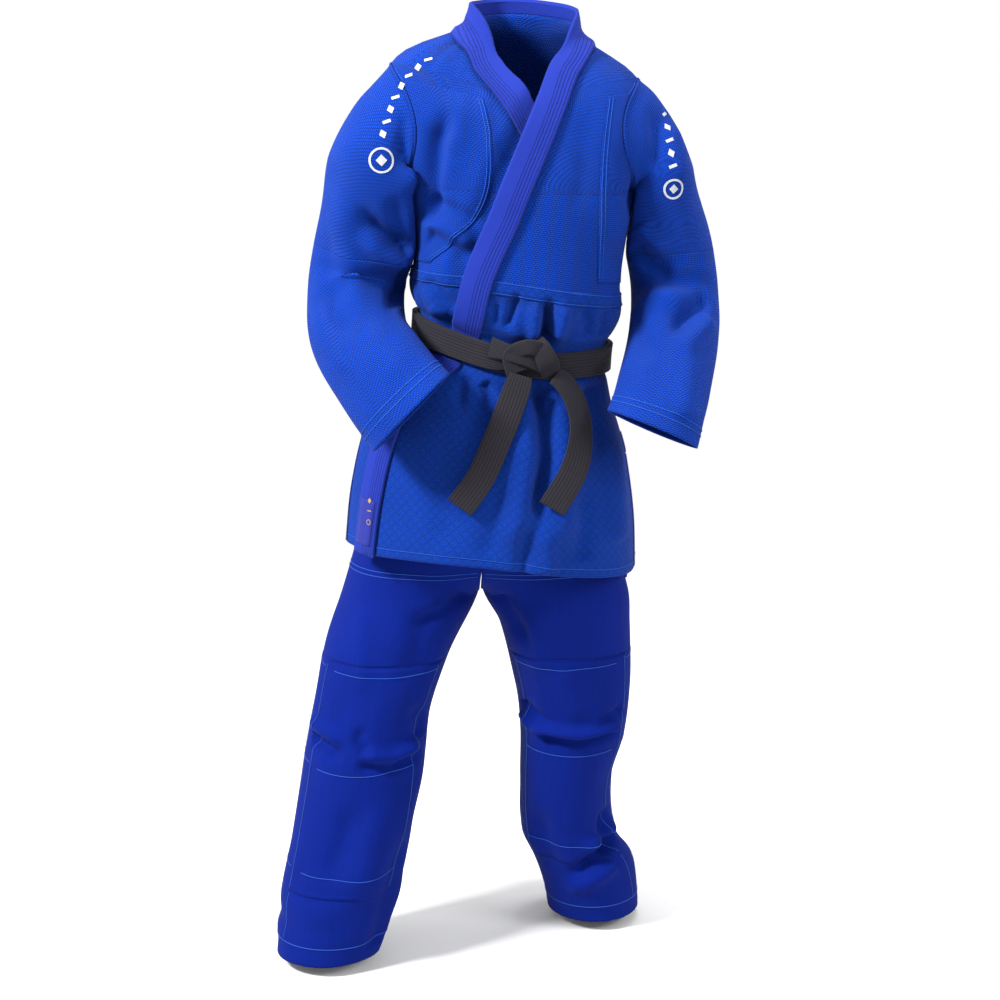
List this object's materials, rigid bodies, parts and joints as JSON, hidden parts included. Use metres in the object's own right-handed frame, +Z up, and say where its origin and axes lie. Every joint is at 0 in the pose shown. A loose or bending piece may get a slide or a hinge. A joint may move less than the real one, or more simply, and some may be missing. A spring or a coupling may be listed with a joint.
{
  "type": "judo uniform",
  "caption": "Judo uniform in its worn shape: cross-over woven jacket with stitched collar band, knotted belt and wide reinforced trousers.",
  "frame": {"origin": "centre of the neck opening, at the level where the collar meets the back of the wearer's neck", "axes": "+Z up the wearer, -Y the way the wearer faces, +X the wearer's left side"},
  "size_m": [0.7358, 0.456, 1.581],
  "materials": {
    "weave": "rice-grain cotton weave",
    "skirt_weave": "coarse diamond cotton weave",
    "lapel": "stitched cotton drill",
    "trouser_drill": "smooth cotton drill",
    "belt": "ribbed cotton webbing",
    "tape": "flat cotton tape",
    "label": "woven label",
    "embroidery": "satin stitch thread"
  },
  "bodies": {
    "trunk": {"back_panel": "weave", "back_skirt": "skirt_weave", "back_waist_tape": "skirt_weave", "belt_inner_wrap": "belt", "belt_outer_wrap": "belt", "collar": "lapel", "knot_core": "belt", "knot_left_bight": "belt", "knot_right_bight": "belt", "lapel_label": "label", "left_chest_patch": "weave", "left_front_panel": "weave", "left_front_skirt": "skirt_weave", "left_hip": "trouser_drill", "left_lapel": "lapel", "left_lapel_end": "lapel", "left_seat": "trouser_drill", "left_shoulder_badge": "embroidery", "left_sleeve_head": "weave", "left_vent_back_tape": "tape", "left_vent_front_tape": "tape", "left_vent_gusset": "tape", "left_waist_tape": "skirt_weave", "left_waistband": "trouser_drill", "right_chest_patch": "weave", "right_front_panel": "weave", "right_front_skirt": "skirt_weave", "right_hip": "trouser_drill", "right_lapel": "lapel", "right_lapel_end": "lapel", "right_seat": "trouser_drill", "right_shoulder_badge": "embroidery", "right_sleeve_head": "weave", "right_vent_back_tape": "tape", "right_vent_front_tape": "tape", "right_vent_gusset": "tape", "right_waist_tape": "skirt_weave", "right_waistband": "trouser_drill"},
    "right_upper_arm": {"right_upper_sleeve": "weave", "right_sleeve_elbow": "weave"},
    "right_forearm": {"right_forearm_sleeve": "weave", "right_sleeve_cuff": "weave"},
    "right_thigh_leg": {"right_thigh": "trouser_drill", "right_knee": "trouser_drill", "right_knee_patch": "trouser_drill"},
    "right_lower_leg": {"right_shin": "trouser_drill", "right_trouser_hem": "trouser_drill"},
    "right_tail": {"belt_right_tail": "belt"},
    "left_upper_arm": {"left_upper_sleeve": "weave", "left_sleeve_elbow": "weave"},
    "left_forearm": {"left_forearm_sleeve": "weave", "left_sleeve_cuff": "weave"},
    "left_thigh_leg": {"left_thigh": "trouser_drill", "left_knee": "trouser_drill", "left_knee_patch": "trouser_drill"},
    "left_lower_leg": {"left_shin": "trouser_drill", "left_trouser_hem": "trouser_drill"},
    "left_tail": {"belt_left_tail": "belt"}
  },
  "joints": [
    {"name": "right_shoulder", "type": "hinge", "parent": "trunk", "child": "right_upper_arm", "pos_m": [-0.19, 0.01, -0.12], "axis": [0, 1, 0], "range_deg": [0, 50], "deforming": ["right_sleeve_head", "right_shoulder_badge"]},
    {"name": "left_shoulder", "type": "hinge", "parent": "trunk", "child": "left_upper_arm", "pos_m": [0.184, 0.01, -0.13], "axis": [0, -1, 0], "range_deg": [0, 50], "deforming": ["left_sleeve_head", "left_shoulder_badge"]},
    {"name": "right_elbow", "type": "hinge", "parent": "right_upper_arm", "child": "right_forearm", "pos_m": [-0.266, 0.004, -0.39], "axis": [-0.8014, -0.5496, 0.2358], "range_deg": [0, 17], "deforming": ["right_sleeve_elbow"]},
    {"name": "left_elbow", "type": "hinge", "parent": "left_upper_arm", "child": "left_forearm", "pos_m": [0.246, 0.012, -0.402], "axis": [-0.8866, 0.4198, -0.1939], "range_deg": [-10, 24], "deforming": ["left_sleeve_elbow"]},
    {"name": "right_hip", "type": "hinge", "parent": "trunk", "child": "right_thigh_leg", "pos_m": [-0.18, 0, -0.865], "axis": [-1, 0, 0], "range_deg": [-15, 50], "deforming": ["right_hip"]},
    {"name": "left_hip", "type": "hinge", "parent": "trunk", "child": "left_thigh_leg", "pos_m": [0.055, 0.008, -0.865], "axis": [-1, 0, 0], "range_deg": [-15, 50], "deforming": ["left_hip"]},
    {"name": "right_knee", "type": "hinge", "parent": "right_thigh_leg", "child": "right_lower_leg", "pos_m": [-0.258, -0.02, -1.115], "axis": [1, 0, 0], "range_deg": [0, 60], "deforming": ["right_knee", "right_knee_patch"]},
    {"name": "left_knee", "type": "hinge", "parent": "left_thigh_leg", "child": "left_lower_leg", "pos_m": [0.09, 0.058, -1.115], "axis": [1, 0, 0], "range_deg": [0, 60], "deforming": ["left_knee", "left_knee_patch"]},
    {"name": "right_tail_swing", "type": "hinge", "parent": "trunk", "child": "right_tail", "pos_m": [0.002, -0.14, -0.514], "axis": [-1, 0, 0], "range_deg": [0, 35]},
    {"name": "left_tail_swing", "type": "hinge", "parent": "trunk", "child": "left_tail", "pos_m": [0.048, -0.138, -0.51], "axis": [-1, 0, 0], "range_deg": [0, 35]}
  ]
}
